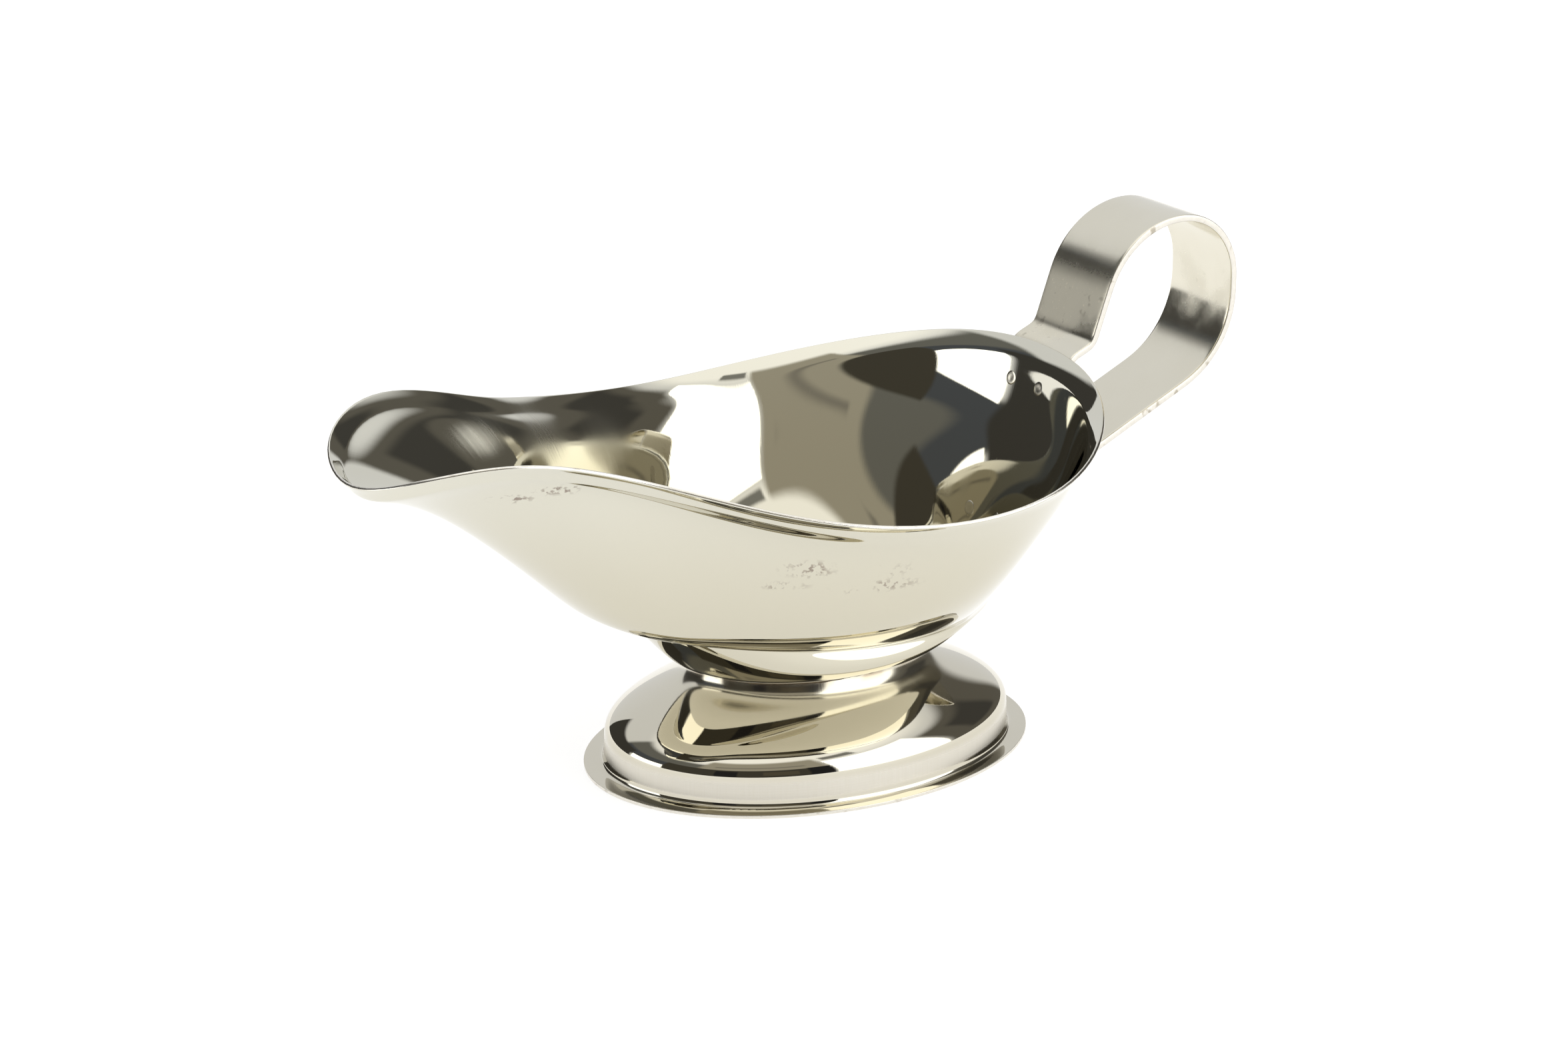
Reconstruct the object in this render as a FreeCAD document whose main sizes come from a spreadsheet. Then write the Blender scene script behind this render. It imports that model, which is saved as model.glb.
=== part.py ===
import FreeCAD, Part
import math
import os

# Footed gravy boat in pressed steel sheet.  Millimetres, +Z up, spout towards -X,
# handle towards +X.  The origin is on the table, under the middle of the foot.

doc = FreeCAD.newDocument("GravyBoat")

# ---------------------------------------------------------------- driving sizes
sheet = doc.addObject("Spreadsheet::Sheet", "Sizes")
sizes = [
    ("spoutReach", 97.8),        # middle of the foot to the spout, along the rim's guide points
    ("backReach", 55.5),         # middle of the foot to the back of the rim, the same way
    ("rimHalfWidth", 52.5),      # middle plane to the widest part of the rim, the same way
    ("rimLowHeight", 58.0),      # table to the lowest part of the rim, at the sides
    ("rimRise", 19.5),           # lowest part of the rim to its highest, beside the spout
    ("bowlWall", 0.7),           # sheet of the bowl
    ("lipOut", 2.6),             # how far the flared lip leans out
    ("lipUp", 2.7),              # height of the flared lip
    ("lipBend", 0.9),            # wall below the lip that takes part in its bend
    ("ledgeHalfLength", 40.5),   # the crease between the hull and the collar
    ("ledgeHalfWidth", 21.5),
    ("ledgeBackHeight", 24.5),
    ("ledgeSideHeight", 26.0),
    ("ledgeSpoutHeight", 33.5),
    ("collarBulge", 1.0),        # how far the collar swells past the crease, at the sides
    ("collarBend", 3.6),         # reach of the bend from the collar into the floor
    ("collarBendRise", 0.3),
    ("collarBendLong", 0.6),     # more reach of that bend, at the two ends
    ("seatMargin", 0.2),         # floor past the neck of the foot
    ("footHeight", 20.0),        # table to the bowl's floor
    ("footHalfLength", 45.3),    # edge of the flange
    ("footOval", 0.757),         # width of the foot over its length
    ("footWall", 0.65),          # sheet of the foot
    ("flangeReach", 4.1),        # flange past the upright band
    ("bandHeight", 5.9),         # top of the upright band
    ("domeHeight", 11.0),        # shoulder of the dome
    ("neckHalfLength", 23.8),
    ("strapWidth", 18.6),
    ("strapThickness", 1.36),
    ("strapGap", 0.08),          # strap to the bowl's wall
    ("tabLength", 9.5),          # ends of the strap that lie along the wall
    ("rimSink", 0.8),            # rim's guide points down to the bend of the upper tab
    ("bendGap", 0.35),           # lip to the strap where it bends away
    ("lowerTabHeight", 43.0),    # table to the bend of the lower tab
    ("tabBendRadius", 1.8),
    ("legSlope", 23.5),          # degrees, upper leg of the handle
    ("legRun", 4.25),            # level run of the upper leg, bend to bend
    ("riseSlope", 70.0),         # degrees, the handle's rise
    ("handleTop", 93.5),         # middle of the strap, at the top of the loop
    ("handleReach", 93.4),       # middle of the strap, at the back of the loop
    ("loopBackHeight", 65.02),   # table to the corner of the lower leg and the loop's back
    ("riseBendRadius", 2.6),
    ("loopFrontRadius", 17.5),
    ("loopTopRadius", 13.4),
    ("loopBackRadius", 19.0),
    ("weldRadius", 2.2),         # spot welds
    ("weldBite", 0.35),          # how far a spot weld reaches into each sheet
    ("weldSpacing", 9.0),        # between the two spot welds of a tab
    ("beadRadius", 0.55),        # weld bead round the top of the foot
]
for row, (alias, value) in enumerate(sizes, start=1):
    sheet.set("A%d" % row, alias)
    sheet.set("B%d" % row, str(value))
    sheet.setAlias("B%d" % row, alias)
doc.recompute()


def size(alias):
    """One driving size, read from the sheet."""
    return float(sheet.get(alias))


# ------------------------------------------------------------- shared skin tools
columns = 20                     # guide points round each ring; the first is at the back
turn = 2 * math.pi / columns
ringGain = 3 / (2 + math.cos(turn))   # a round ring's guide points stand this much outside it


def vector(x, y, z):
    return FreeCAD.Vector(x, y, z)


def oval(halfLength, halfWidth, height):
    """Guide points of a level oval ring."""
    ring = []
    for column in range(columns):
        angle = column * turn
        ring.append(vector(halfLength * math.cos(angle), halfWidth * math.sin(angle), height))
    return ring


def along(column, back, side, spout):
    """A value that changes smoothly from the back, past the side, to the spout."""
    angle = column * turn
    middle = (back + 2 * side + spout) / 4
    lean = (back - spout) / 2
    waist = (back - 2 * side + spout) / 4
    return middle + lean * math.cos(angle) + waist * math.cos(2 * angle)


def skin(rings):
    """Smooth closed-round surface that follows the rings of guide points."""
    first, last = rings[0], rings[-1]
    afterFirst = [(2 * p + q) * (1 / 3) for p, q in zip(first, rings[1])]
    beforeLast = [(2 * p + q) * (1 / 3) for p, q in zip(last, rings[-2])]
    rows = [first, afterFirst] + rings[1:-1] + [beforeLast, last]
    poles = [[row[column] for row in rows] for column in range(columns)]
    spans = len(rings) - 1
    surface = Part.BSplineSurface()
    surface.buildFromPolesMultsKnots(
        poles,
        [1] * (columns + 1), [4] + [1] * (spans - 1) + [4],
        list(range(columns + 1)), list(range(spans + 1)),
        True, False, 3, 3)
    return surface


def inset(rings, wall, floorRise):
    """The same rings moved through the sheet's thickness; the first ring only rises."""
    moved = []
    for i, ring in enumerate(rings):
        below = rings[max(i - 1, 0)]
        above = rings[min(i + 1, len(rings) - 1)]
        newRing = []
        for column in range(columns):
            around = ring[(column + 1) % columns] - ring[column - 1]
            normal = around.cross(above[column] - below[column]).normalize()
            step = vector(0, 0, floorRise) if i == 0 else normal * -wall
            newRing.append(ring[column] + step)
        moved.append(newRing)
    return moved


def openEdge(surface):
    """The curve of a skin at its last ring."""
    return surface.vIso(surface.bounds()[3]).toShape()


def pressedSheet(outer, inner, mouth):
    """Closed solid between two skins, with a level floor at the first rings.

    mouth holds the faces that join the two skins at the last rings."""
    faces = [outer.toShape(), inner.toShape()] + mouth
    for surface in (outer, inner):
        faces.append(Part.Face(Part.Wire(surface.vIso(0).toShape())))
    shell = Part.makeShell(faces)
    shell.sewShape()
    solid = Part.makeSolid(shell)
    if solid.Volume < 0:
        solid.reverse()
    return solid


def feature(label, shape):
    """A document object that holds one made shape."""
    item = doc.addObject("Part::Feature", label)
    item.Label = label
    item.Shape = shape
    item.Placement = FreeCAD.Placement()
    return item


# -------------------------------------------------------------------------- bowl
# Rim from the back to the spout: share of the reach (of backReach behind the origin, of
# spoutReach before it), share of rimHalfWidth, and share of rimRise.
rimShape = [
    (1.00, 0.00, 0.64),
    (0.94, 0.42, 0.56),
    (0.71, 0.78, 0.31),
    (0.38, 0.99, 0.08),
    (-0.025, 1.00, 0.00),
    (-0.255, 0.885, 0.155),
    (-0.43, 0.695, 0.41),
    (-0.565, 0.515, 0.64),
    (-0.78, 0.525, 1.00),
    (-0.95, 0.335, 0.77),
    (-1.00, 0.00, 0.46),
]
# Fullness of the hull between the crease and the lip, from the bottom up: share of the way
# out and share of the way up, each at the back, the side and the spout.
hullShape = [
    ((0.06, 0.42, 0.14), (0.28, 0.11, 0.02)),
    ((0.42, 0.68, 0.24), (0.63, 0.32, 0.18)),
    ((0.80, 0.85, 0.72), (0.75, 0.85, 0.88)),
]
creaseShare = 0.12               # how tight the crease is, as a share of the first step up
browShare = 0.3                  # and of the first step down
lipMiddle = (0.53, 0.43)         # middle of the lip: share of lipOut and of lipUp to the rim


def rimRing():
    half = []
    for reach, across, rise in rimShape:
        length = size("backReach") if reach > 0 else size("spoutReach")
        half.append(vector(reach * length, across * size("rimHalfWidth"),
                           size("rimLowHeight") + rise * size("rimRise")))
    mirrored = [vector(p.x, -p.y, p.z) for p in half[-2:0:-1]]
    return half + mirrored


def lipRing(rim, outShare, upShare):
    """A ring of the flared lip, inside and below the rim."""
    ring = []
    for column in range(columns):
        around = rim[(column + 1) % columns] - rim[column - 1]
        outwards = vector(around.y, -around.x, 0).normalize()
        drop = vector(0, 0, size("lipUp") * upShare)
        ring.append(rim[column] - outwards * size("lipOut") * outShare - drop)
    return ring


def bowlRings():
    floor = size("footHeight")
    ledge = []
    for column, point in enumerate(oval(size("ledgeHalfLength"), size("ledgeHalfWidth"), 0)):
        height = along(column, size("ledgeBackHeight"), size("ledgeSideHeight"),
                       size("ledgeSpoutHeight"))
        ledge.append(vector(point.x, point.y, height))
    neckLength = size("neckHalfLength") * ringGain
    neckWidth = neckLength * size("footOval")
    bend = size("collarBend")
    margin = size("seatMargin")
    seat = oval(neckLength + margin, neckWidth + margin, floor)
    turned = oval(neckLength + bend + size("collarBendLong"), neckWidth + bend,
                  floor + size("collarBendRise"))
    swell, brow = [], []
    sideways = oval(0, size("collarBulge"), 0)
    for column in range(columns):
        low, high = turned[column], ledge[column]
        swell.append((low + high) * 0.5 + sideways[column])
        brow.append(high + (swell[column] - high) * browShare)
    rim = rimRing()
    lipRoot = lipRing(rim, 1, 1)
    hull = []
    for outShape, upShape in hullShape:
        ring = []
        for column in range(columns):
            start, end = ledge[column], lipRoot[column]
            out = along(column, *outShape)
            up = along(column, *upShape)
            ring.append(vector(start.x + (end.x - start.x) * out,
                               start.y + (end.y - start.y) * out,
                               start.z + (end.z - start.z) * up))
        hull.append(ring)
    crease = [p + (q - p) * creaseShare for p, q in zip(ledge, hull[0])]
    bendStart = [p + (q - p).normalize() * size("lipBend") for p, q in zip(lipRoot, hull[-1])]
    lip = [bendStart, lipRoot, lipRing(rim, *lipMiddle), rim]
    return [seat, turned, swell, brow, ledge, crease] + hull + lip


bowlOuter = bowlRings()
bowlInner = inset(bowlOuter, size("bowlWall"), size("bowlWall"))
outerSkin, innerSkin = skin(bowlOuter), skin(bowlInner)
rimEdge = Part.makeRuledSurface(openEdge(outerSkin), openEdge(innerSkin))
bowl = feature("bowl", pressedSheet(outerSkin, innerSkin, [rimEdge]))


wallSteps = 40                   # enough to settle on the wall


def wallPoint(across, height):
    """Point on the outside of the back wall, at a distance across and a height."""
    point = vector(size("backReach"), across, height)
    for step in range(wallSteps):
        u, v = outerSkin.parameter(point)
        point = vector(outerSkin.value(u, v).x, across, height)
    return point


# -------------------------------------------------------------------------- foot
# Section of the foot from the neck's top down: millimetres out from the neck or the upright
# band, and up from the level named.
neckSection = [(0.0, 0.0), (0.1, -0.8), (0.9, -3.2)]     # from the neck, at the foot's top
coveSection = (0.26, 0.6, 0.42)  # share of the way to the band, then out, and share of the drop
shoulderInset = 3.8              # dome's shoulder, in from the band
bandSection = [(-0.3, 2.0), (0.0, -0.2)]                 # from the band, at its top
flangeSection = [(0.0, 1.4), (0.3, 0.1), (1.5, 0.0)]     # from the band, at the flange


def footRings():
    top, neck = size("footHeight"), size("neckHalfLength")
    band = size("footHalfLength") - size("flangeReach")
    wall, dome = size("footWall"), size("domeHeight")
    coveShare, coveOut, coveRise = coveSection
    profile = [(neck + out, top + up) for out, up in neckSection]
    profile.append((neck + coveShare * (band - neck) + coveOut, dome + coveRise * (top - dome)))
    profile.append((band - shoulderInset, dome))
    profile += [(band + out, size("bandHeight") + up) for out, up in bandSection]
    profile += [(band + out, wall + up) for out, up in flangeSection]
    profile.append((size("footHalfLength"), wall))
    rings = []
    for halfLength, height in profile:
        guide = halfLength * ringGain
        rings.append(oval(guide, guide * size("footOval"), height))
    return rings


footOuter = footRings()
footInner = inset(footOuter, -size("footWall"), -size("footWall"))[:-1]
footInner[-1] = [vector(p.x, p.y, 0) for p in footInner[-1]]
outside, underside = skin(footOuter), skin(footInner)
flangeTop = openEdge(outside)
flangeBottom = flangeTop.translated(vector(0, 0, -size("footWall")))
flangeEdge = Part.makeRuledSurface(flangeTop, flangeBottom)
standingFace = Part.makeFace([Part.Wire(flangeBottom), Part.Wire(openEdge(underside))],
                             "Part::FaceMakerBullseye")
foot = feature("foot", pressedSheet(outside, underside, [flangeEdge, standingFace]))

# ------------------------------------------------------------------------ handle


def upFrom(point, degrees, run):
    """The point reached from another at a slope, after a level run."""
    return vector(point.x + run, 0, point.z + run * math.tan(math.radians(degrees)))


slopeStep = 0.5                  # height over which the wall's slope is taken


def besideWall(height):
    """Middle of the strap where it lies along the back wall."""
    here, above = wallPoint(0, height), wallPoint(0, height + slopeStep)
    slope = (above - here).normalize()
    outwards = vector(slope.z, 0, -slope.x)
    return here + outwards * (size("strapGap") + size("strapThickness") / 2)


backRim = bowlOuter[-1][0]
lipEdge = wallPoint(0, backRim.z - size("rimSink"))
upperBend = vector(lipEdge.x + size("strapThickness") / 2 + size("bendGap"), 0, lipEdge.z)
upperTab = besideWall(upperBend.z - size("tabLength"))
tabBend = besideWall(upperBend.z - size("lipUp") - size("rimSink"))
legEnd = upFrom(upperBend, size("legSlope"), size("legRun"))
lowerBend = besideWall(size("lowerTabHeight"))
lowerTab = besideWall(size("lowerTabHeight") - size("tabLength"))
riseRun = (size("handleTop") - legEnd.z) / math.tan(math.radians(size("riseSlope")))
loopFront = upFrom(legEnd, size("riseSlope"), riseRun)
loopTop = vector(size("handleReach"), 0, size("handleTop"))
loopBack = vector(size("handleReach"), 0, size("loopBackHeight"))
straightShare = 0.005            # least share of a leg that stays straight
strapRoute = [
    (upperTab, 0),
    (tabBend, size("tabBendRadius")),
    (upperBend, size("tabBendRadius")),
    (legEnd, size("riseBendRadius")),
    (loopFront, size("loopFrontRadius")),
    (loopTop, size("loopTopRadius")),
    (loopBack, size("loopBackRadius")),
    (lowerBend, size("tabBendRadius")),
    (lowerTab, 0),
]


def bendAngle(index):
    """How far the route turns at a corner; nothing at its two ends."""
    if index in (0, len(strapRoute) - 1):
        return 0.0
    corner = strapRoute[index][0]
    return (corner - strapRoute[index - 1][0]).getAngle(strapRoute[index + 1][0] - corner)


def bendReach(index):
    """How much of each leg a bend takes at its full radius."""
    return strapRoute[index][1] * math.tan(bendAngle(index) / 2)


def fittedRadius(index):
    """Radius of a bend, less where a leg is too short for the bends at its two ends."""
    share = 1.0
    for other in (index - 1, index + 1):
        leg = (strapRoute[other][0] - strapRoute[index][0]).Length
        share = min(share, leg * (1 - straightShare) / (bendReach(index) + bendReach(other)))
    return strapRoute[index][1] * share


def strapSide(offset):
    """Lines and arcs of one face of the strap, to the left of the route by offset."""
    edges = []
    start = None
    for index, (corner, radius) in enumerate(strapRoute):
        before = strapRoute[max(index - 1, 0)][0]
        after = strapRoute[min(index + 1, len(strapRoute) - 1)][0]
        if radius == 0:
            heading = (after - before).normalize()
            end = corner + vector(-heading.z, 0, heading.x) * offset
        else:
            arriving, leaving = (corner - before).normalize(), (after - corner).normalize()
            bend, radius = bendAngle(index), fittedRadius(index)
            side = 1 if arriving.z * leaving.x - arriving.x * leaving.z < 0 else -1
            reach = radius * math.tan(bend / 2)
            first, last = corner - arriving * reach, corner + leaving * reach
            centre = first + vector(-arriving.z, 0, arriving.x) * side * radius
            middle = centre + (corner - centre).normalize() * radius
            scale = (radius - side * offset) / radius
            end, middle, last = [centre + (p - centre) * scale for p in (first, middle, last)]
        if start is not None:
            edges.append(Part.LineSegment(start, end))
        start = end
        if radius > 0:
            edges.append(Part.Arc(end, middle, last))
            start = last
    return edges, start


def onSketch(curve):
    """A line or arc of the middle plane, in the sketch's own axes."""
    flat = curve.copy()
    flat.rotate(FreeCAD.Placement(vector(0, 0, 0), vector(1, 0, 0), -90))
    return flat


half = size("strapThickness") / 2
upperFace, upperEnd = strapSide(half)
lowerFace, lowerEnd = strapSide(-half)
ends = [Part.LineSegment(upperFace[0].StartPoint, lowerFace[0].StartPoint),
        Part.LineSegment(upperEnd, lowerEnd)]

handle = doc.addObject("PartDesign::Body", "handle")
handle.Label = "handle"
strapSketch = handle.newObject("Sketcher::SketchObject", "strapOutline")
plane = [item for item in handle.Origin.OriginFeatures if item.Role == "XZ_Plane"][0]
strapSketch.AttachmentSupport = [(plane, "")]
strapSketch.MapMode = "FlatFace"
strapSketch.addGeometry([onSketch(curve) for curve in upperFace + lowerFace + ends], False)
strap = handle.newObject("PartDesign::Pad", "strap")
strap.Profile = strapSketch
strap.SideType = "Symmetric"
strap.setExpression("Length", "Sizes.strapWidth")

# ------------------------------------------------------------------------- welds


def spotWelds(label, height):
    """A pair of weld nuggets between the strap and the bowl, side by side."""
    nuggets = []
    middleWall, middleStrap = wallPoint(0, height), besideWall(height)
    outwards = (middleStrap - middleWall).normalize()
    strapFace = middleStrap - outwards * half
    for hand in (-1, 1):
        wall = wallPoint(hand * size("weldSpacing") / 2, height)
        gap = (strapFace - wall).dot(outwards)
        nugget = doc.addObject("Part::Ellipsoid", "nugget")
        nugget.Radius1 = gap / 2 + size("weldBite")
        nugget.setExpression("Radius2", "Sizes.weldRadius")
        nugget.setExpression("Radius3", "Sizes.weldRadius")
        centre = wall + outwards * (gap / 2)
        nugget.Placement = FreeCAD.Placement(
            centre, FreeCAD.Rotation(vector(0, 0, 1), outwards))
        nuggets.append(nugget)
    pair = doc.addObject("Part::Compound", label)
    pair.Label = label
    pair.Links = nuggets
    return pair


upperHeight = (upperTab.z + tabBend.z) / 2
lowerHeight = (lowerTab.z + lowerBend.z) / 2
upperWelds = spotWelds("upper_spot_welds", upperHeight)
lowerWelds = spotWelds("lower_spot_welds", lowerHeight)

# Weld bead in the corner between the foot's neck and the bowl's floor.
beadPath = doc.addObject("Part::Ellipse", "beadPath")
beadPath.setExpression("MajorRadius", "Sizes.neckHalfLength + Sizes.beadRadius / 2")
beadPath.setExpression("MinorRadius",
                       "Sizes.neckHalfLength * Sizes.footOval + Sizes.beadRadius / 2")
beadPath.setExpression("Placement.Base.z", "Sizes.footHeight - Sizes.beadRadius / 4")
beadSection = doc.addObject("Part::Circle", "beadSection")
beadSection.setExpression("Radius", "Sizes.beadRadius")
beadSection.Placement = FreeCAD.Placement(vector(0, 0, 0), vector(1, 0, 0), 90)
beadSection.setExpression("Placement.Base.x", "Sizes.neckHalfLength + Sizes.beadRadius / 2")
beadSection.setExpression("Placement.Base.z", "Sizes.footHeight - Sizes.beadRadius / 4")
bead = doc.addObject("Part::Sweep", "foot_weld")
bead.Label = "foot_weld"
bead.Sections = [beadSection]
bead.Spine = (beadPath, ["Edge1"])
bead.Solid = True
bead.Frenet = True

# ------------------------------------------------------------------ check and save
doc.recompute()
parts = [bowl, foot, handle, upperWelds, lowerWelds, bead]
for item in doc.Objects:
    if "Invalid" in item.State or "Error" in item.State:
        raise RuntimeError("%s failed: %s" % (item.Label, item.State))
for item in parts:
    if item.Shape.isNull() or not item.Shape.isValid():
        raise RuntimeError("%s has no sound shape" % item.Label)

os.makedirs("parts", exist_ok=True)
for item in parts:
    item.Shape.exportStep("parts/%s.step" % item.Label)
    print("%-18s %9.1f mm3, %d solids" % (item.Label, item.Shape.Volume, len(item.Shape.Solids)))
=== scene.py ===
import bpy
import bmesh
import math
from mathutils import Matrix, Vector, noise
from mathutils.bvhtree import BVHTree


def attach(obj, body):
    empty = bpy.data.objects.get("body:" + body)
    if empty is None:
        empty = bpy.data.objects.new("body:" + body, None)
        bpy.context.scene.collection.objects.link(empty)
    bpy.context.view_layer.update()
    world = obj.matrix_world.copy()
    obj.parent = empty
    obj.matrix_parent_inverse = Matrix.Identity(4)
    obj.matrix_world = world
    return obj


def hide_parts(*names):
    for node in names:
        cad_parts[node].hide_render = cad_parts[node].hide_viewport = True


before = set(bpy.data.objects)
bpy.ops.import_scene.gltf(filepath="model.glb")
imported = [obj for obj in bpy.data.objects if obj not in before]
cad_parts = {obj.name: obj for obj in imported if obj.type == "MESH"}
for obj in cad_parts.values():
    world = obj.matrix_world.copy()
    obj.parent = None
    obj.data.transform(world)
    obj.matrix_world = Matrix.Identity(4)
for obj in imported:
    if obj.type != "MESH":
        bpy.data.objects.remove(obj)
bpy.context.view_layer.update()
mm = 0.001                       # one millimetre, in the metres of the scene
print("frame loaded")

columns = 20                     # guide points round each ring of the bowl and the foot
turn = 2 * math.pi / columns
ringGain = 3 / (2 + math.cos(turn))   # guide points stand this much outside a smooth ring
sharpAngle = 50                  # degrees, from which an edge counts as sharp and is rounded
behind = 90                      # rays towards the back of the bowl start here, on the X axis


class Wire:                      # a number, vector or colour on its way through a material
    def __init__(self, finish, socket):
        self.finish = finish
        self.socket = socket

    def math(self, operation, *others):
        return self.finish.node("ShaderNodeMath", dict(operation=operation),
                                dict(enumerate((self,) + others)))

    def __add__(self, other):
        return self.math("ADD", other)

    def __radd__(self, other):
        return self.math("ADD", other)

    def __mul__(self, other):
        return self.math("MULTIPLY", other)

    def __rmul__(self, other):
        return self.math("MULTIPLY", other)

    def __sub__(self, other):
        return self.math("SUBTRACT", other)

    def __rsub__(self, other):
        return self.finish.node("ShaderNodeMath", dict(operation="SUBTRACT"), {0: other, 1: self})

    def __truediv__(self, other):
        return self.math("DIVIDE", other)

    def rise(self, low, high):   # 0 below low, 1 above high, smooth between
        return self.finish.node("ShaderNodeMapRange", dict(interpolation_type="SMOOTHSTEP"),
                                {"Value": self, "From Min": low, "From Max": high})


class Painter:                   # makes the nodes of one material or of the surroundings
    def __init__(self, tree):
        self.tree = tree

    def node(self, kind, settings=None, inputs=None, output=0):
        made = self.tree.nodes.new(kind)
        for key, value in (settings or {}).items():
            setattr(made, key, value)
        for key, value in (inputs or {}).items():
            self.feed(made.inputs[key], value)
        return Wire(self, made.outputs[output])

    def feed(self, socket, value):
        if isinstance(value, Wire):
            self.tree.links.new(value.socket, socket)
        else:
            socket.default_value = value

    def blend(self, mask, low, high):
        return self.node("ShaderNodeMix", dict(data_type="RGBA"),
                         {0: mask, 6: low, 7: high}, output=2)


class Finish(Painter):
    def __init__(self, name, metallic=1.0):
        self.material = bpy.data.materials.new(name)
        self.material.use_nodes = True
        super().__init__(self.material.node_tree)
        self.shader = self.tree.nodes["Principled BSDF"]
        self.shader.inputs["Metallic"].default_value = metallic
        self.place = self.node("ShaderNodeTexCoord", output="Object")
        parts = self.node("ShaderNodeSeparateXYZ", inputs={0: self.place}).socket.node.outputs
        self.x, self.y, self.z = (Wire(self, parts[i]) / mm for i in range(3))

    def vector(self, x, y, z):
        return self.node("ShaderNodeCombineXYZ", inputs={0: x, 1: y, 2: z})

    def noise(self, scale, detail=2.0, place=None, roughness=0.5):
        return self.node("ShaderNodeTexNoise", inputs={
            "Vector": place or self.place, "Scale": scale, "Detail": detail,
            "Roughness": roughness})

    def lines(self, around, up, oval, seed=0.0):   # noise drawn out round the piece or up it
        bearing = self.y.math("ARCTAN2", self.x * oval)
        place = self.vector(bearing * around, self.z * up, seed)
        return self.noise(1.0, 3.0, place, 0.6)

    def bump(self, height, distance):
        normal = self.node("ShaderNodeBump", inputs={
            "Height": height, "Distance": distance * mm, "Strength": 1.0})
        self.feed(self.shader.inputs["Normal"], normal)

    def surface(self, colour, roughness):
        self.feed(self.shader.inputs["Base Color"], colour)
        self.feed(self.shader.inputs["Roughness"], roughness)
        return self.material


def newPiece(name, bm, materials):
    mesh = bpy.data.meshes.new(name)
    bm.to_mesh(mesh)
    bm.free()
    for face in mesh.polygons:
        face.use_smooth = True
    piece = bpy.data.objects.new(name, mesh)
    bpy.context.scene.collection.objects.link(piece)
    for material in materials:
        mesh.materials.append(material)
    return piece


def faceOutwards(bm, face=None, heading=1):   # an open shell is settled by one known face
    bmesh.ops.recalc_face_normals(bm, faces=bm.faces)
    bm.normal_update()
    if face and face.normal.z * heading < 0:
        bmesh.ops.reverse_faces(bm, faces=bm.faces)


def addSubdivision(piece, levels):
    step = piece.modifiers.new("smooth", "SUBSURF")
    step.levels = levels
    step.render_levels = levels


def addEdgeRound(piece, width):
    step = piece.modifiers.new("edgeRound", "BEVEL")
    step.width = width * mm
    step.segments = 2
    step.limit_method = "ANGLE"
    step.angle_limit = math.radians(sharpAngle)


def addPressedSheet(piece, wall, edgeRound):   # smooths the guide rings and grows the wall inwards
    addSubdivision(piece, 2)
    sheet = piece.modifiers.new("sheet", "SOLIDIFY")
    sheet.thickness = wall * mm
    sheet.offset = -1
    sheet.use_even_offset = True
    sheet.material_offset_rim = 1
    addEdgeRound(piece, edgeRound)
    addSubdivision(piece, 1)


def onBody(piece, node):
    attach(piece, "root")
    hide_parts(node)


def ringTube(rows):              # stacked unit rings, one row of guide points per 1.0 of height
    bm = bmesh.new()
    bmesh.ops.create_circle(bm, segments=columns, radius=1)
    edges = bm.edges[:]
    for row in range(1, rows):
        made = bmesh.ops.extrude_edge_only(bm, edges=edges)["geom"]
        verts = [item for item in made if isinstance(item, bmesh.types.BMVert)]
        bmesh.ops.translate(bm, verts=verts, vec=(0, 0, 1))
        edges = [item for item in made
                 if isinstance(item, bmesh.types.BMEdge) and item.verts[0] in verts
                 and item.verts[1] in verts]
    return bm


def rowAndColumn(vert):
    column = round(math.atan2(vert.co.y, vert.co.x) / turn) % columns
    return round(vert.co.z), column


def closeFirstRing(bm, places, steps):   # a face across the first ring, inset step by step
    ring = [edge for edge in bm.edges if edge.is_boundary
            and all(places[vert][0] == 0 for vert in edge.verts)]
    faces = bmesh.ops.contextual_create(bm, geom=ring)["faces"]
    for step in steps:
        bmesh.ops.inset_region(bm, faces=faces, thickness=step * mm, use_even_offset=True)
    return faces[0]


def blendRound(column, back, side, spout):   # from the back, past the side, to the spout
    angle = column * turn
    return ((back + 2 * side + spout) / 4 + (back - spout) / 2 * math.cos(angle)
            + (back - 2 * side + spout) / 4 * math.cos(2 * angle))


def ovalPoint(column, halfLength, halfWidth, height):
    angle = column * turn
    return Vector((halfLength * math.cos(angle), halfWidth * math.sin(angle), height))


bowlShape = dict(
    spoutReach=97.8, backReach=55.5, halfWidth=52.5, lowHeight=58.0, rise=19.5,
    wall=0.7, lipOut=2.6, lipUp=2.7, lipBend=0.9, lipMiddle=(0.53, 0.43),
    ledgeHalfLength=40.5, ledgeHalfWidth=21.5, ledgeHeights=(24.5, 26.0, 33.5),
    collarBulge=1.0, collarBend=3.6, collarBendRise=0.3, collarBendLong=0.6, seatMargin=0.2,
    floor=20.0, neckHalfLength=23.8, oval=0.757,
    crease=0.12, brow=0.3, rimRound=0.2, floorSteps=(1.5, 8.0, 5.0),
    # from the back to the spout: shares of the reach, of the half width and of the rise
    rim=[(1.00, 0.00, 0.64), (0.94, 0.42, 0.56), (0.71, 0.78, 0.31), (0.38, 0.99, 0.08),
         (-0.025, 1.00, 0.00), (-0.255, 0.885, 0.155), (-0.43, 0.695, 0.41),
         (-0.565, 0.515, 0.64), (-0.78, 0.525, 1.00), (-0.95, 0.335, 0.77),
         (-1.00, 0.00, 0.46)],
    # share of the way out and up from the crease to the lip, each at back, side and spout
    hull=[((0.06, 0.42, 0.14), (0.28, 0.11, 0.02)),
          ((0.42, 0.68, 0.24), (0.63, 0.32, 0.18)),
          ((0.80, 0.85, 0.72), (0.75, 0.85, 0.88))],
)
bowlRows = 13


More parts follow.
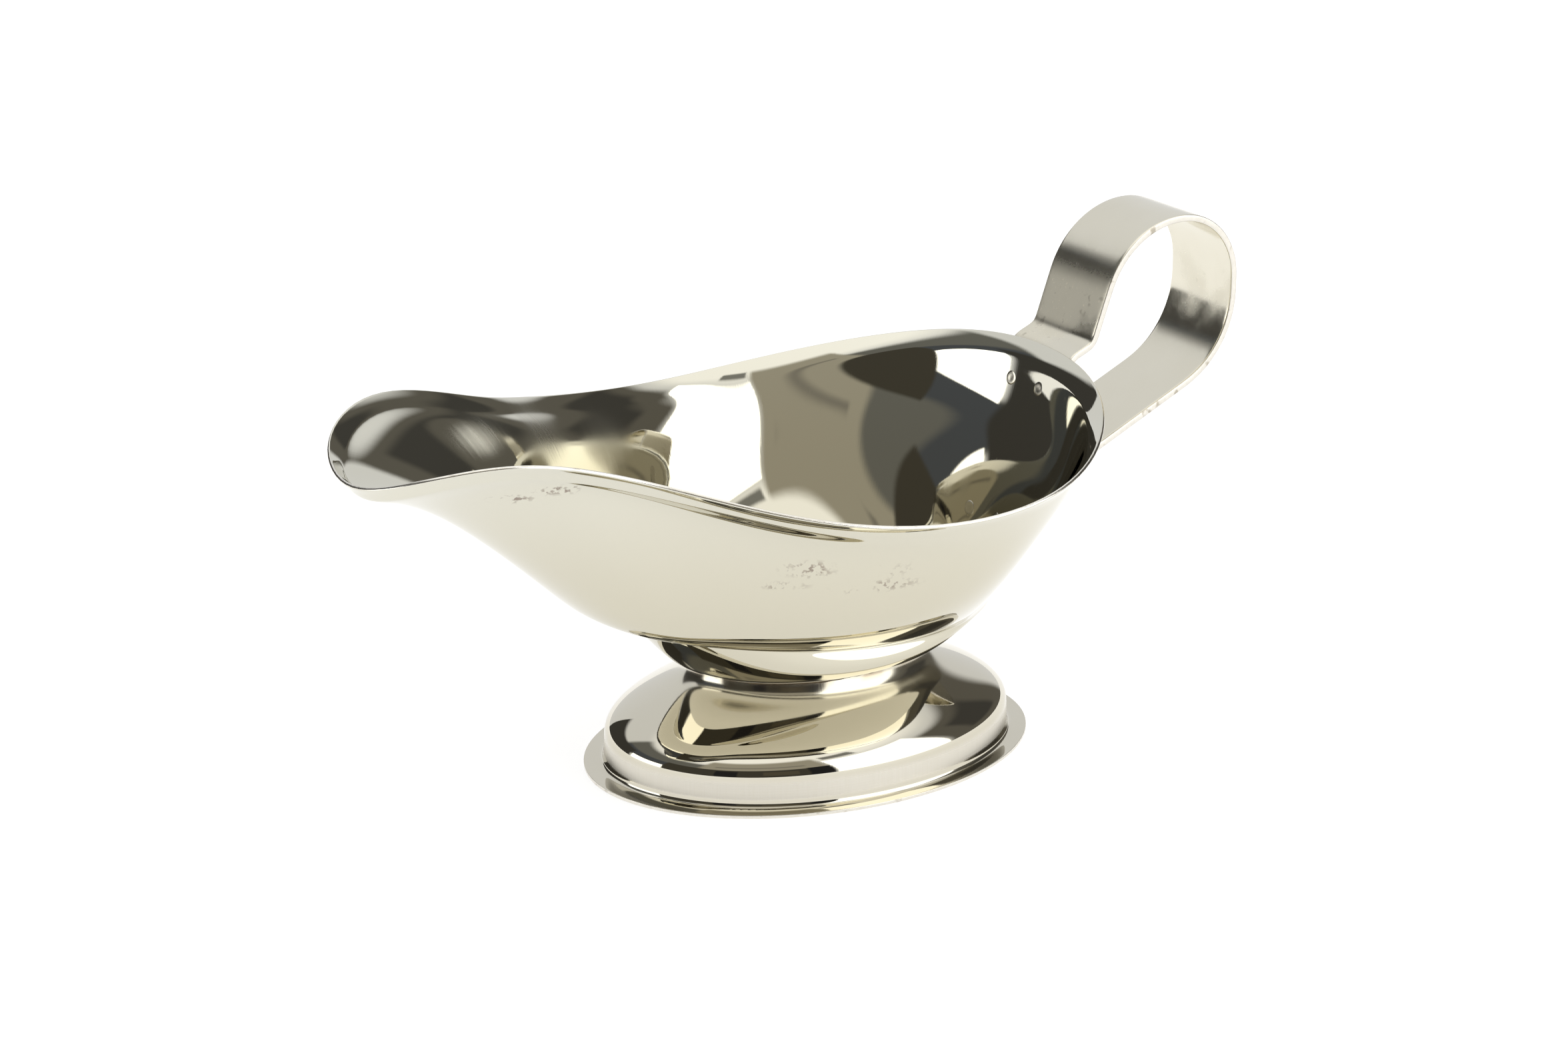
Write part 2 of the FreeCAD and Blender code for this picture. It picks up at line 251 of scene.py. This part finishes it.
def rimPoint(column):
    b = bowlShape
    mirrored = column > columns // 2
    reach, across, rise = b["rim"][columns - column if mirrored else column]
    return Vector((reach * (b["backReach"] if reach > 0 else b["spoutReach"]),
                   across * b["halfWidth"] * (-1 if mirrored else 1),
                   b["lowHeight"] + rise * b["rise"]))


def lipPoint(column, outShare, upShare):
    around = rimPoint((column + 1) % columns) - rimPoint((column - 1) % columns)
    outwards = Vector((around.y, -around.x, 0)).normalized()
    drop = Vector((0, 0, bowlShape["lipUp"] * upShare))
    return rimPoint(column) - outwards * bowlShape["lipOut"] * outShare - drop


def bowlPoints(column):          # guide points of the outside, from the floor up to the rim
    b = bowlShape
    ledge = ovalPoint(column, b["ledgeHalfLength"], b["ledgeHalfWidth"],
                      blendRound(column, *b["ledgeHeights"]))
    neck = b["neckHalfLength"] * ringGain
    margin, bend = b["seatMargin"], b["collarBend"]
    seat = ovalPoint(column, neck + margin, neck * b["oval"] + margin, b["floor"])
    turned = ovalPoint(column, neck + bend + b["collarBendLong"], neck * b["oval"] + bend,
                       b["floor"] + b["collarBendRise"])
    swell = (turned + ledge) * 0.5 + ovalPoint(column, 0, b["collarBulge"], 0)
    brow = ledge + (swell - ledge) * b["brow"]
    root = lipPoint(column, 1, 1)
    hull = []
    for outShape, upShape in b["hull"]:
        out, up = blendRound(column, *outShape), blendRound(column, *upShape)
        hull.append(Vector((ledge.x + (root.x - ledge.x) * out,
                            ledge.y + (root.y - ledge.y) * out,
                            ledge.z + (root.z - ledge.z) * up)))
    crease = ledge + (hull[0] - ledge) * b["crease"]
    bendStart = root + (hull[-1] - root).normalized() * b["lipBend"]
    lip = [bendStart, root, lipPoint(column, *b["lipMiddle"]), rimPoint(column)]
    return [seat, turned, swell, brow, ledge, crease, *hull, *lip]


def makeBowl(materials):
    bm = ringTube(bowlRows)
    places = {vert: rowAndColumn(vert) for vert in bm.verts}
    guides = [bowlPoints(column) for column in range(columns)]
    for vert, (row, column) in places.items():
        vert.co = guides[column][row] * mm
    floor = closeFirstRing(bm, places, bowlShape["floorSteps"])
    faceOutwards(bm, floor, -1)
    bowl = newPiece("bowlShell", bm, materials)
    addPressedSheet(bowl, bowlShape["wall"], bowlShape["rimRound"])
    return bowl


footShape = dict(
    top=20.0, neck=23.8, halfLength=45.3, oval=0.757, wall=0.65, flange=4.1,
    bandTop=5.9, dome=11.0, edgeRound=0.16, topSteps=(0.8, 8.0),
    neckSection=[(0.0, 0.0), (0.1, -0.8), (0.9, -3.2)], cove=(0.26, 0.6, 0.42), shoulder=3.8,
    bandSection=[(-0.3, 2.0), (0.0, -0.2)], flangeSection=[(0.0, 1.4), (0.3, 0.1), (1.5, 0.0)],
)


def footProfile():
    f = footShape
    band = f["halfLength"] - f["flange"]
    share, out, rise = f["cove"]
    profile = [(f["neck"] + x, f["top"] + z) for x, z in f["neckSection"]]
    profile.append((f["neck"] + share * (band - f["neck"]) + out,
                    f["dome"] + rise * (f["top"] - f["dome"])))
    profile.append((band - f["shoulder"], f["dome"]))
    profile += [(band + x, f["bandTop"] + z) for x, z in f["bandSection"]]
    profile += [(band + x, f["wall"] + z) for x, z in f["flangeSection"]]
    profile.append((f["halfLength"], f["wall"]))
    return profile


def makeFoot(materials):
    profile = footProfile()
    bm = ringTube(len(profile))
    places = {vert: rowAndColumn(vert) for vert in bm.verts}
    for vert, (row, column) in places.items():
        halfLength, height = profile[row]
        guide = halfLength * ringGain
        vert.co = ovalPoint(column, guide, guide * footShape["oval"], height) * mm
    top = closeFirstRing(bm, places, footShape["topSteps"])
    faceOutwards(bm, top)
    foot = newPiece("footShell", bm, materials)
    addPressedSheet(foot, footShape["wall"], footShape["edgeRound"])
    return foot


handleShape = dict(width=18.6, thickness=1.36, edgeRound=0.24, rows=150, across=12,
                   # rows of the strap that lie along the bowl, and the rows where that fades
                   upperTab=5, lowerTab=7, tabFade=12,
                   bendSteps=6, bendStep=6)   # least steps in a bend, and degrees in a step
strapCorners = [                 # middle of the strap in the XZ plane, and the bend there
    ((50.84, 59.96), 0), ((52.35, 65.99), 1.8), ((55.1, 69.68), 1.8), ((59.35, 71.53), 2.6),
    ((67.34, 93.5), 17.5), ((93.4, 93.5), 13.4), ((93.4, 65.02), 19.0),
    ((43.46, 42.79), 1.8), ((41.42, 33.39), 0)]


def strapRoute():                # points along the middle of the strap, a line or a bend at a time
    route = []
    for index, (corner, radius) in enumerate(strapCorners):
        here = Vector(corner)
        if radius == 0:
            route.append(here)
            continue
        arriving = (here - Vector(strapCorners[index - 1][0])).normalized()
        leaving = (Vector(strapCorners[index + 1][0]) - here).normalized()
        bend = arriving.angle(leaving)
        side = 1 if arriving.x * leaving.y - arriving.y * leaving.x > 0 else -1
        start = here - arriving * radius * math.tan(bend / 2)
        centre = start + Vector((-arriving.y, arriving.x)) * side * radius
        steps = max(handleShape["bendSteps"],
                    round(math.degrees(bend) / handleShape["bendStep"]))
        for step in range(steps + 1):
            spoke = start - centre
            spoke.rotate(Matrix.Rotation(side * bend * step / steps, 2))
            route.append(centre + spoke)
    return route


def evenly(route, count):        # places at equal steps along a route
    lengths = [0.0]
    for before, after in zip(route, route[1:]):
        lengths.append(lengths[-1] + (after - before).length)
    places = []
    leg = 0
    for step in range(count):
        at = lengths[-1] * step / (count - 1)
        while leg < len(route) - 2 and lengths[leg + 1] < at:
            leg += 1
        share = (at - lengths[leg]) / (lengths[leg + 1] - lengths[leg])
        places.append(route[leg].lerp(route[leg + 1], min(share, 1)))
    return places


def wallReach(bowlTree, across, height):   # how far back the bowl's outside is
    hit = bowlTree.ray_cast(Vector((behind * mm, across, height)), Vector((-1, 0, 0)))[0]
    return hit.x


def tabWrap(bowlTree, row, places, across):   # how far the strap bends round the bowl here
    h = handleShape
    last = h["rows"]
    if row <= last / 2:
        level, past = min(row, h["upperTab"]), row - h["upperTab"]
    else:
        level, past = max(row, last - h["lowerTab"]), last - h["lowerTab"] - row
    fade = max(0.0, 1 - max(past, 0) / h["tabFade"])
    if fade == 0:
        return 0.0
    height = places[level].y * mm
    sag = wallReach(bowlTree, across, height) - wallReach(bowlTree, 0, height)
    return sag * fade * fade * (3 - 2 * fade)


def makeHandle(bowlTree, materials):
    h = handleShape
    places = evenly(strapRoute(), h["rows"] + 1)
    bm = bmesh.new()
    bmesh.ops.create_grid(bm, x_segments=h["rows"], y_segments=h["across"], size=0.5)
    for vert in bm.verts:
        row = round((vert.co.x + 0.5) * h["rows"])
        across = vert.co.y * h["width"] * mm
        place = places[row] * mm
        vert.co = Vector((place.x + tabWrap(bowlTree, row, places, across), across, place.y))
    handle = newPiece("handleStrap", bm, materials)
    sheet = handle.modifiers.new("sheet", "SOLIDIFY")
    sheet.thickness = h["thickness"] * mm
    sheet.offset = 0
    sheet.material_offset_rim = 1
    addEdgeRound(handle, h["edgeRound"])
    addSubdivision(handle, 1)
    return handle


weldShape = dict(spacing=9.0, upper=62.95, lower=38.05, gap=0.08, proud=0.05, steps=24, merge=0.01,
                 # across the button: out from its middle, and share of how proud it stands
                 button=[(0.0, 0.4), (0.55, 0.6), (0.95, 1.0), (1.3, 0.5), (1.6, -0.6),
                         (1.6, -4.0), (0.0, -4.0)])
beadShape = dict(halfLength=24.05, halfWidth=18.29, height=19.86, radius=0.5, sides=10,
                 steps=220,
                 lump=0.16, fine=900.0, coarse=260.0)   # height of its lumps, and two sizes of them


def makeSpotWelds(name, height, bowlTree, materials):
    w = weldShape
    bm = bmesh.new()
    verts = [bm.verts.new((out * mm, 0, share * w["proud"] * mm)) for out, share in w["button"]]
    edges = [bm.edges.new(pair) for pair in zip(verts, verts[1:])]
    bmesh.ops.spin(bm, geom=verts + edges, cent=(0, 0, 0), axis=(0, 0, 1),
                   angle=2 * math.pi, steps=w["steps"], use_merge=True)
    bmesh.ops.remove_doubles(bm, verts=bm.verts, dist=w["merge"] * mm)
    button = bm.verts[:] + bm.edges[:] + bm.faces[:]
    outer = (w["gap"] + handleShape["thickness"]) * mm
    inner = -bowlShape["wall"] * mm
    for hand in (-1, 1):
        eye = Vector((behind, hand * w["spacing"] / 2, height)) * mm
        wall, normal = bowlTree.ray_cast(eye, Vector((-1, 0, 0)))[:2]
        for facing, depth in ((1, outer), (-1, inner)):
            copy = bmesh.ops.duplicate(bm, geom=button)["geom"]
            verts = [item for item in copy if isinstance(item, bmesh.types.BMVert)]
            bearing = (normal * facing).to_track_quat("Z", "Y").to_matrix().to_4x4()
            bmesh.ops.transform(bm, matrix=Matrix.Translation(wall + normal * depth) @ bearing,
                                verts=verts)
    bmesh.ops.delete(bm, geom=[item for item in button if isinstance(item, bmesh.types.BMVert)],
                     context="VERTS")
    faceOutwards(bm)
    return newPiece(name, bm, materials)


def makeFootWeld(materials):
    b = beadShape
    bm = bmesh.new()
    ring = bmesh.ops.create_circle(bm, segments=b["sides"], radius=b["radius"] * mm)["verts"]
    bmesh.ops.rotate(bm, verts=ring, matrix=Matrix.Rotation(math.pi / 2, 3, "X"))
    bmesh.ops.translate(bm, verts=ring, vec=(b["halfLength"] * mm, 0, b["height"] * mm))
    bmesh.ops.spin(bm, geom=bm.verts[:] + bm.edges[:], cent=(0, 0, 0), axis=(0, 0, 1),
                   angle=2 * math.pi, steps=b["steps"], use_merge=True)
    bmesh.ops.scale(bm, verts=bm.verts, vec=(1, b["halfWidth"] / b["halfLength"], 1))
    faceOutwards(bm)
    for vert in bm.verts:
        lump = noise.noise(vert.co * b["fine"]) + noise.noise(vert.co * b["coarse"])
        vert.co += vert.normal * lump * b["lump"] * mm
    return newPiece("footWeldBead", bm, materials)


steelTint = (0.72, 0.70, 0.605, 1)

# each finish: colours, roughness and what adds to it, noise as (scale, detail), the noise levels
# between which a mark fades in, heights in mm, and the weights and height in mm of its bump
bowlFinish = dict(
    lowTint=(0.655, 0.62, 0.505, 1), tintHeights=(75, 38), smudgeColour=(0.22, 0.16, 0.13, 1),
    rough=0.022, cloudRough=0.02, lineRough=0.025, scratchRough=0.10, smudgeRough=0.22,
    scrubRough=0.26, scrubLines=(0.6, 0.8), smudgeShare=0.8,
    # lines up the wall: how many, how drawn out, the oval they follow, which pattern
    lines=(95, 0.05, 0.6), scratches=(210, 0.16, 0.6, 4.0), fineLines=(420, 0.4, 0.6, 9.0),
    cloud=(30, 3), wipe=(120, 4), flecks=(850, 2), scratchPlaces=(55, 2), waves=(70, 1),
    lineFade=(0.5, 0.8), cloudFade=(0.45, 0.75), scratchFade=(0.66, 0.74),
    scratchPlaceFade=(0.5, 0.66), wipeFade=(0.42, 0.56), fleckFade=(0.5, 0.62),
    lineBump=0.6, fineLineBump=0.25, scratchBump=0.3, waveBump=3.0, bump=0.0022,
)
# marks on the outside of the hull: middle, reach each way, how strong
smudges = [((-74, -19, 67.5), (6, 5, 1.4), 1.0), ((-66, -23, 69), (7, 5, 1.6), 1.0),
           ((-24, -37, 50.5), (7, 6, 2.6), 0.9), ((-12, -40, 46), (12, 6, 1.8), 0.8),
           ((-9, -40, 50), (5, 6, 3.2), 0.7), ((-28, -35, 47), (6, 6, 1.4), 0.9)]
# places inside the bowl that a scourer has dulled
scrubbed = [((-58, 24, 65), (15, 9, 7), 0.9), ((-40, 31, 60), (17, 11, 10), 0.9),
            ((-22, 40, 53), (13, 11, 11), 0.8)]
solidShare = 0.2                 # share of a mark's reach that it fills at full strength


def marks(finish, places):       # how strongly the marks at these places show
    total = 0.0
    for middle, reach, strength in places:
        offset = finish.node("ShaderNodeVectorMath", dict(operation="SUBTRACT"),
                             {0: finish.place, 1: [value * mm for value in middle]})
        share = finish.node("ShaderNodeVectorMath", dict(operation="DIVIDE"),
                            {0: offset, 1: [value * mm for value in reach]})
        away = finish.node("ShaderNodeVectorMath", dict(operation="LENGTH"), {0: share},
                           output="Value")
        total = (1 - away.rise(solidShare, 1)) * strength + total
    return total


def polishedSteel():
    f = Finish("polishedSteel")
    b = bowlFinish
    lines = f.lines(*b["lines"])
    scratches = (f.lines(*b["scratches"]).rise(*b["scratchFade"])
                 * f.noise(*b["scratchPlaces"]).rise(*b["scratchPlaceFade"]))
    wipe = f.noise(*b["wipe"], roughness=0.7).rise(*b["wipeFade"])
    fleck = f.noise(*b["flecks"]).rise(*b["fleckFade"]) * wipe * marks(f, smudges)
    scrubLow, scrubRise = b["scrubLines"]
    scrub = marks(f, scrubbed) * (b["scrubRough"] * (scrubLow + lines * scrubRise))
    rough = (b["rough"] + f.noise(*b["cloud"]).rise(*b["cloudFade"]) * b["cloudRough"]
             + lines.rise(*b["lineFade"]) * b["lineRough"] + scratches * b["scratchRough"]
             + fleck * b["smudgeRough"] + scrub)
    colour = f.blend(f.z.rise(*b["tintHeights"]), steelTint, b["lowTint"])
    colour = f.blend(fleck * b["smudgeShare"], colour, b["smudgeColour"])
    f.bump(lines * b["lineBump"] + f.lines(*b["fineLines"]) * b["fineLineBump"]
           + scratches * b["scratchBump"] + f.noise(*b["waves"]) * b["waveBump"], b["bump"])
    return f.surface(colour, rough)


footFinish = dict(
    tint=(0.70, 0.665, 0.565, 1), deepTint=(0.64, 0.60, 0.49, 1),
    bandColour=(0.82, 0.79, 0.74, 1), heatColour=(0.36, 0.27, 0.17, 1),
    bandFrom=(1.8, 2.6), bandTo=(4.9, 6.4), neckFrom=(12.5, 17.5), heatFrom=(17.2, 19.8),
    rough=0.022, bandRough=0.30, neckRough=0.12, cloudRough=0.02,
    hoops=(0.7, 9, 0.76), upright=(130, 0.1, 0.6), cloud=(45, 3), heat=(160, 2), waves=(70, 1),
    cloudFade=(0.45, 0.75), heatFade=(0.3, 0.62), bandHoops=(0.75, 0.5), neckLines=0.5,
    hoopShare=0.5, uprightShare=0.35, heatShare=0.85,
    hoopBump=1.2, uprightBump=0.5, waveBump=3.0, bump=0.0022,
)


def footSteel():                 # a satin band under a polished dome, tinted by heat at its top
    f = Finish("footSteel")
    t = footFinish
    band = f.z.rise(*t["bandFrom"]) * (1 - f.z.rise(*t["bandTo"]))
    hoops = f.lines(*t["hoops"])
    upright = f.lines(*t["upright"])
    cloud = f.noise(*t["cloud"])
    heat = f.z.rise(*t["heatFrom"]) * f.noise(*t["heat"]).rise(*t["heatFade"])
    hoopLow, hoopRise = t["bandHoops"]
    rough = (t["rough"] + band * (t["bandRough"] * (hoopLow + hoops * hoopRise))
             + f.z.rise(*t["neckFrom"]) * t["neckRough"] * (t["neckLines"] + upright)
             + cloud.rise(*t["cloudFade"]) * t["cloudRough"])
    colour = f.blend(cloud, t["tint"], t["deepTint"])
    satin = band * (hoops * t["hoopShare"] + upright * t["uprightShare"])
    colour = f.blend(satin, colour, t["bandColour"])
    colour = f.blend(heat * t["heatShare"], colour, t["heatColour"])
    f.bump(hoops * band * t["hoopBump"] + upright * t["uprightBump"]
           + f.noise(*t["waves"]) * t["waveBump"], t["bump"])
    return f.surface(colour, rough)


strapFinish = dict(
    tint=(0.80, 0.765, 0.655, 1), deepTint=(0.73, 0.69, 0.57, 1),
    pitColour=(0.42, 0.38, 0.30, 1), bareColour=(0.96, 0.90, 0.76, 1),
    grittyFrom=(66, 71), grittyTo=(80, 88),
    rough=0.17, grainRough=0.10, cloudRough=0.08, grittyRough=0.20,
    grain=(1500, 3), coarse=(520, 2), cloud=(70, 3), waves=(90, 1),
    grittyFade=(0.34, 0.56), bareFade=(0.6, 0.72), pitFade=(0.62, 0.75),
    pitShare=0.5, bareShare=0.8,
    grainBump=0.12, grittyBump=1.2, coarseBump=0.8, waveBump=1.2, bump=0.005,
)


def satinStrap():                # satin, and gritty on the lower part of the rise
    f = Finish("satinStrap")
    t = strapFinish
    grain = f.noise(*t["grain"], roughness=0.7)
    coarse = f.noise(*t["coarse"])
    cloud = f.noise(*t["cloud"])
    gritty = (cloud.rise(*t["grittyFade"]) * f.z.rise(*t["grittyFrom"])
              * (1 - f.z.rise(*t["grittyTo"])))
    bare = grain.rise(*t["bareFade"]) * gritty
    rough = (t["rough"] + (grain - 0.5) * t["grainRough"] + (cloud - 0.5) * t["cloudRough"]
             + gritty * t["grittyRough"])
    colour = f.blend(cloud, t["tint"], t["deepTint"])
    pits = coarse.rise(*t["pitFade"]) * gritty
    colour = f.blend(pits * t["pitShare"], colour, t["pitColour"])
    colour = f.blend(bare * t["bareShare"], colour, t["bareColour"])
    f.bump(grain * (t["grainBump"] + gritty * t["grittyBump"])
           + coarse * gritty * t["coarseBump"] + f.noise(*t["waves"]) * t["waveBump"], t["bump"])
    return f.surface(colour, rough)


edgeFinish = dict(
    tint=(0.70, 0.665, 0.59, 1), brightTint=(0.90, 0.87, 0.81, 1),
    pitColour=(0.34, 0.29, 0.20, 1), rough=0.42, grainRough=0.25, pitRough=0.1,
    grain=(1100, 3), pits=(420, 2), pitFade=(0.6, 0.7), pitShare=0.6,
    grainBump=0.8, pitBump=-1.2, bump=0.02,
)


def shearedEdge(name, cut):      # cut is how raw the edge is, from 0 to 1
    f = Finish(name)
    e = edgeFinish
    grain = f.noise(*e["grain"], roughness=0.7)
    pits = f.noise(*e["pits"]).rise(*e["pitFade"])
    rough = (e["rough"] * cut + (grain - 0.5) * e["grainRough"] * cut
             + pits * e["pitRough"])
    colour = f.blend(grain, e["tint"], e["brightTint"])
    colour = f.blend(pits * e["pitShare"] * cut, colour, e["pitColour"])
    f.bump(grain * e["grainBump"] + pits * e["pitBump"], e["bump"] * cut)
    return f.surface(colour, rough)


spotFinish = dict(deepTint=(0.52, 0.48, 0.40, 1), rough=0.09, grainRough=0.12,
                  grain=(700, 3), bump=0.004)
beadFinish = dict(
    burnt=(0.075, 0.06, 0.042, 1), brown=(0.21, 0.165, 0.105, 1),
    fleckColour=(0.75, 0.69, 0.55, 1), metallic=0.85, rough=0.34, grainRough=0.3,
    grain=(2200, 3), flecks=(1300, 2), burn=(240, 2), fleckFade=(0.66, 0.72), bump=0.06,
)


def spotSteel():
    f = Finish("spotSteel")
    w = spotFinish
    grain = f.noise(*w["grain"])
    colour = f.blend(grain, steelTint, w["deepTint"])
    f.bump(grain, w["bump"])
    return f.surface(colour, w["rough"] + grain * w["grainRough"])


def beadSteel():
    w = beadFinish
    f = Finish("beadSteel", w["metallic"])
    grain = f.noise(*w["grain"], roughness=0.7)
    flecks = f.noise(*w["flecks"]).rise(*w["fleckFade"])
    burn = f.noise(*w["burn"])
    colour = f.blend(burn, w["burnt"], w["brown"])
    colour = f.blend(flecks, colour, w["fleckColour"])
    f.bump(grain + burn, w["bump"])
    return f.surface(colour, w["rough"] + grain * w["grainRough"])


def treeOf(piece):
    return BVHTree.FromObject(piece, bpy.context.evaluated_depsgraph_get())


bowl = makeBowl([polishedSteel(), shearedEdge("rimSteel", 0.45)])
foot = makeFoot([footSteel(), shearedEdge("flangeEdgeSteel", 0.6)])
onBody(bowl, "bowl")
onBody(foot, "foot")
print("bowl and foot made")
bowlTree = treeOf(bowl)
handle = makeHandle(bowlTree, [satinStrap(), shearedEdge("strapEdgeSteel", 1.0)])
onBody(handle, "handle")
print("handle made")
spots = spotSteel()
upperWelds = makeSpotWelds("upperSpotWelds", weldShape["upper"], bowlTree, [spots])
lowerWelds = makeSpotWelds("lowerSpotWelds", weldShape["lower"], bowlTree, [spots])
footWeld = makeFootWeld([beadSteel()])
onBody(upperWelds, "upper_spot_welds")
onBody(lowerWelds, "lower_spot_welds")
onBody(footWeld, "foot_weld")
print("welds made")


studio = dict(floorSize=3.0, floorGlow=0.80, floorShade=0.36, backdrop=(1.0, 1.0, 1.0),
              surroundings=(0.80, 0.81, 0.83))
# what stands round the object: first and last bearing, lowest and highest angle, all in
# degrees with bearing 0 at the front, then colour and how soft its edge is
panels = [
    ("ceiling", -181, 181, 50, 95, (1.25, 1.25, 1.24), 6.0),
    ("leftRoom", -152, -58, 12, 47, (0.155, 0.155, 0.145), 3.0),
    ("leftShade", -150, -88, 14, 30, (0.075, 0.082, 0.095), 2.5),
    ("farLeftShade", -184, -134, -3, 26, (0.050, 0.048, 0.044), 2.0),
    ("frontCeiling", -72, 4, 30, 58, (0.40, 0.375, 0.31), 3.0),
    ("frontBeam", -62, -6, 41, 44, (0.24, 0.225, 0.195), 1.5),
    ("frontRoom", -98, 4, -3, 32, (0.060, 0.055, 0.044), 1.2),
    ("frontDoor", -58, -44, 2, 27, (0.022, 0.021, 0.022), 0.6),
    ("frontPanel", -30, -12, 8, 25, (0.094, 0.082, 0.060), 0.6),
    ("frontPost", -7, 4, -3, 33, (0.020, 0.020, 0.021), 0.8),
    ("rightShade", 60, 119, -3, 43, (0.125, 0.118, 0.103), 3.0),
    ("rightStand", 76, 104, 10, 36, (0.060, 0.058, 0.054), 3.0),
    ("leftBox", -132, -98, -3, 15, (2.2, 2.2, 2.15), 0.5),
    ("rightBox", 5, 59, -3, 49, (2.2, 2.2, 2.15), 0.5),
    ("lampArm", 8, 30, 52, 58, (0.25, 0.25, 0.24), 1.5),
]


def makeFloor():
    bm = bmesh.new()
    bmesh.ops.create_grid(bm, x_segments=1, y_segments=1, size=studio["floorSize"])
    faceOutwards(bm, bm.faces[:][0])
    f = Finish("paleFloor", 0.0)
    f.shader.inputs["Emission Strength"].default_value = studio["floorGlow"]
    f.feed(f.shader.inputs["Emission Color"], (1, 1, 1, 1))
    floor = newPiece("floor", bm, [f.surface([studio["floorShade"]] * 3 + [1], 0.9)])


def makeSurroundings():          # soft boxes and the room, seen only as light and reflection
    world = bpy.data.worlds.new("studio")
    world.use_nodes = True
    f = Painter(world.node_tree)
    way = f.node("ShaderNodeTexCoord", output="Generated")
    parts = f.node("ShaderNodeSeparateXYZ", inputs={0: way}).socket.node.outputs
    x, y, z = (Wire(f, parts[i]) for i in range(3))
    degree = math.degrees(1)
    bearing = x.math("ARCTAN2", y * -1) * degree
    height = z.math("ARCSINE") * degree
    colour = (*studio["surroundings"], 1)
    for name, left, right, low, high, paint, edge in panels:
        mask = (bearing.rise(left - edge, left + edge) * height.rise(low - edge, low + edge)
                * (1 - bearing.rise(right - edge, right + edge))
                * (1 - height.rise(high - edge, high + edge)))
        colour = f.blend(mask, colour, (*paint, 1))
    seen = f.node("ShaderNodeLightPath", output="Is Camera Ray")
    colour = f.blend(seen, colour, (*studio["backdrop"], 1))
    f.feed(world.node_tree.nodes["Background"].inputs["Color"], colour)
    bpy.context.scene.world = world


makeFloor()
makeSurroundings()
bpy.context.scene.view_settings.view_transform = "Standard"

# degrees round and up, then metres from the aim and of the aim across and up the picture
camera = dict(azimuth=-33.094, elevation=19.037, distance=0.76978, right=-0.004443,
              up=0.041732, lens=92.44, sensor=36, farthest=20)


def makeCamera():
    azimuth, elevation = math.radians(camera["azimuth"]), math.radians(camera["elevation"])
    back = Vector((math.sin(azimuth) * math.cos(elevation),
                   -math.cos(azimuth) * math.cos(elevation), math.sin(elevation)))
    right = Vector((math.cos(azimuth), math.sin(azimuth), 0))
    up = back.cross(right)
    lens = bpy.data.cameras.new("view")
    lens.lens = camera["lens"]
    lens.sensor_width = camera["sensor"]
    lens.clip_end = camera["farthest"]
    eye = bpy.data.objects.new("view", lens)
    place = back * camera["distance"] + right * camera["right"] + up * camera["up"]
    eye.matrix_world = Matrix.Translation(place) @ Matrix((right, up, back)).transposed().to_4x4()
    bpy.context.scene.collection.objects.link(eye)
    bpy.context.scene.camera = eye


makeCamera()
print("studio made")
